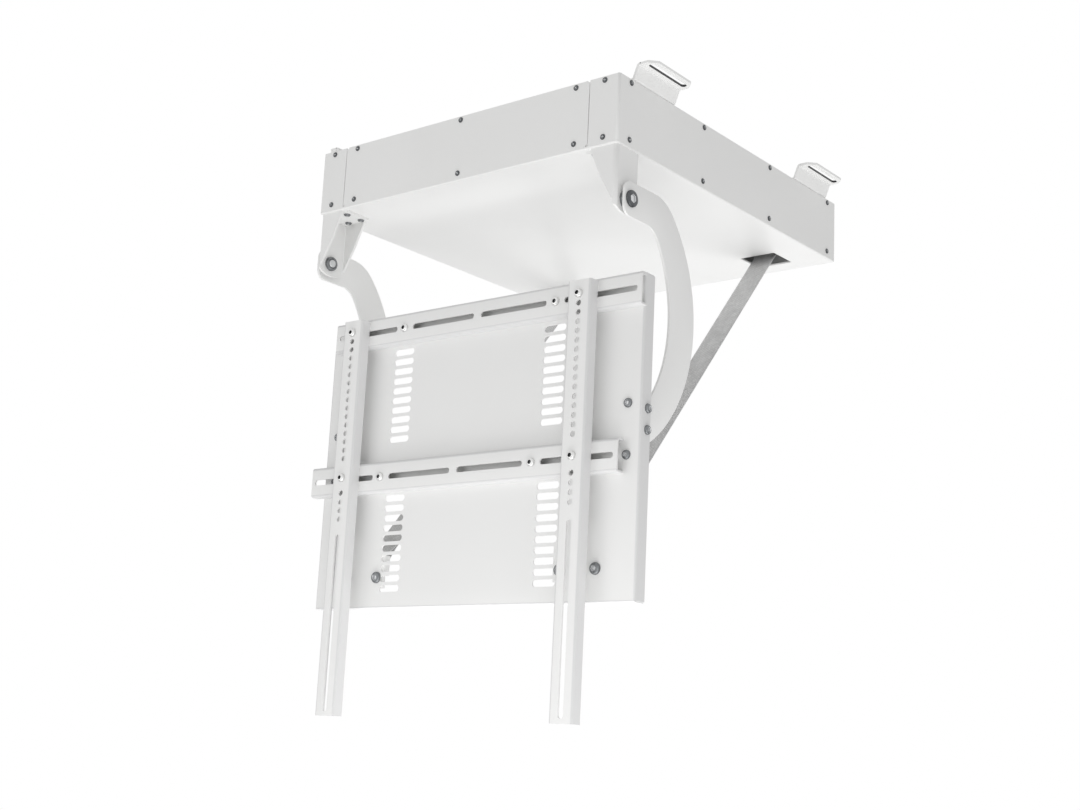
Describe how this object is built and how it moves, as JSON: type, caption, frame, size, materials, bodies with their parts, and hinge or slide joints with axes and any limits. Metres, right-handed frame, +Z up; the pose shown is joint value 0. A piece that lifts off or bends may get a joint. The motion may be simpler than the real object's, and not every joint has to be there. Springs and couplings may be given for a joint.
{
  "type": "tv ceiling mount",
  "caption": "Motorised flip-down ceiling mount: a flat white steel housing on slotted tabs, crescent arms that swing a vented plate with television rails, and lifting straps.",
  "frame": {"origin": "middle of the ceiling plane, on top of the four tab flanges", "axes": "+X to the right of someone who looks at the television, -Y towards them, +Z up to the ceiling"},
  "size_m": [0.492, 0.4705, 0.6853],
  "materials": {
    "white_powder_coat": "satin white powder coat on sheet steel",
    "zinc_steel": "bright zinc plated steel",
    "grey_webbing": "grey polyester webbing",
    "tube_steel": "galvanised steel tube",
    "black_plastic": "black moulded plastic",
    "grey_plastic": "grey moulded plastic",
    "circuit_board": "green lacquered circuit board"
  },
  "bodies": {
    "housing": {"bottom_plate": "white_powder_coat", "top_plate": "white_powder_coat", "front_panel": "white_powder_coat", "rear_panel": "white_powder_coat", "left_side_panel": "white_powder_coat", "right_side_panel": "white_powder_coat", "front_left_tab": "white_powder_coat", "front_right_tab": "white_powder_coat", "rear_left_tab": "white_powder_coat", "rear_right_tab": "white_powder_coat", "left_pivot_bracket": "white_powder_coat", "right_pivot_bracket": "white_powder_coat", "foot_screws": "zinc_steel", "pivot_bolts": "zinc_steel", "pivot_washers": "zinc_steel", "pivot_nuts": "zinc_steel", "motor_bracket": "zinc_steel", "idler_bracket": "zinc_steel", "motor_head": "black_plastic", "mains_inlet": "black_plastic", "control_case": "grey_plastic", "control_lid": "grey_plastic", "circuit_board": "circuit_board", "left_strap": "grey_webbing", "right_strap": "grey_webbing"},
    "drum": {"winding_tube": "tube_steel", "idler_plug": "tube_steel"},
    "tv_frame": {"tv_plate": "white_powder_coat", "left_arm": "white_powder_coat", "right_arm": "white_powder_coat", "left_cleat": "white_powder_coat", "right_cleat": "white_powder_coat", "upper_channel": "white_powder_coat", "lower_channel": "white_powder_coat", "left_strap_anchor": "white_powder_coat", "right_strap_anchor": "white_powder_coat", "arm_screws": "zinc_steel", "cleat_screws": "zinc_steel", "channel_screws": "zinc_steel", "anchor_bolts": "zinc_steel"},
    "left_upright": {"left_rail": "white_powder_coat", "left_rail_screws": "zinc_steel", "left_rail_nuts": "zinc_steel"},
    "right_upright": {"right_rail": "white_powder_coat", "right_rail_screws": "zinc_steel", "right_rail_nuts": "zinc_steel"}
  },
  "joints": [
    {"name": "flip", "type": "hinge", "parent": "housing", "child": "tv_frame", "pos_m": [0, -0.2145, -0.1535], "axis": [1, 0, 0], "range_deg": [0, 90], "deforming": ["left_strap", "right_strap"]},
    {"name": "drum", "type": "hinge", "parent": "housing", "child": "drum", "pos_m": [0, 0.185, -0.06], "axis": [1, 0, 0], "range_deg": [0, 1400]},
    {"name": "left_rail_slide", "type": "slide", "parent": "tv_frame", "child": "left_upright", "axis": [1, 0, 0], "range_m": [-0.031, 0.027]},
    {"name": "right_rail_slide", "type": "slide", "parent": "tv_frame", "child": "right_upright", "axis": [1, 0, 0], "range_m": [-0.019, 0.039]}
  ],
  "couplings": [
    {"joint": "drum", "follows": "flip", "ratio": 15.5}
  ]
}
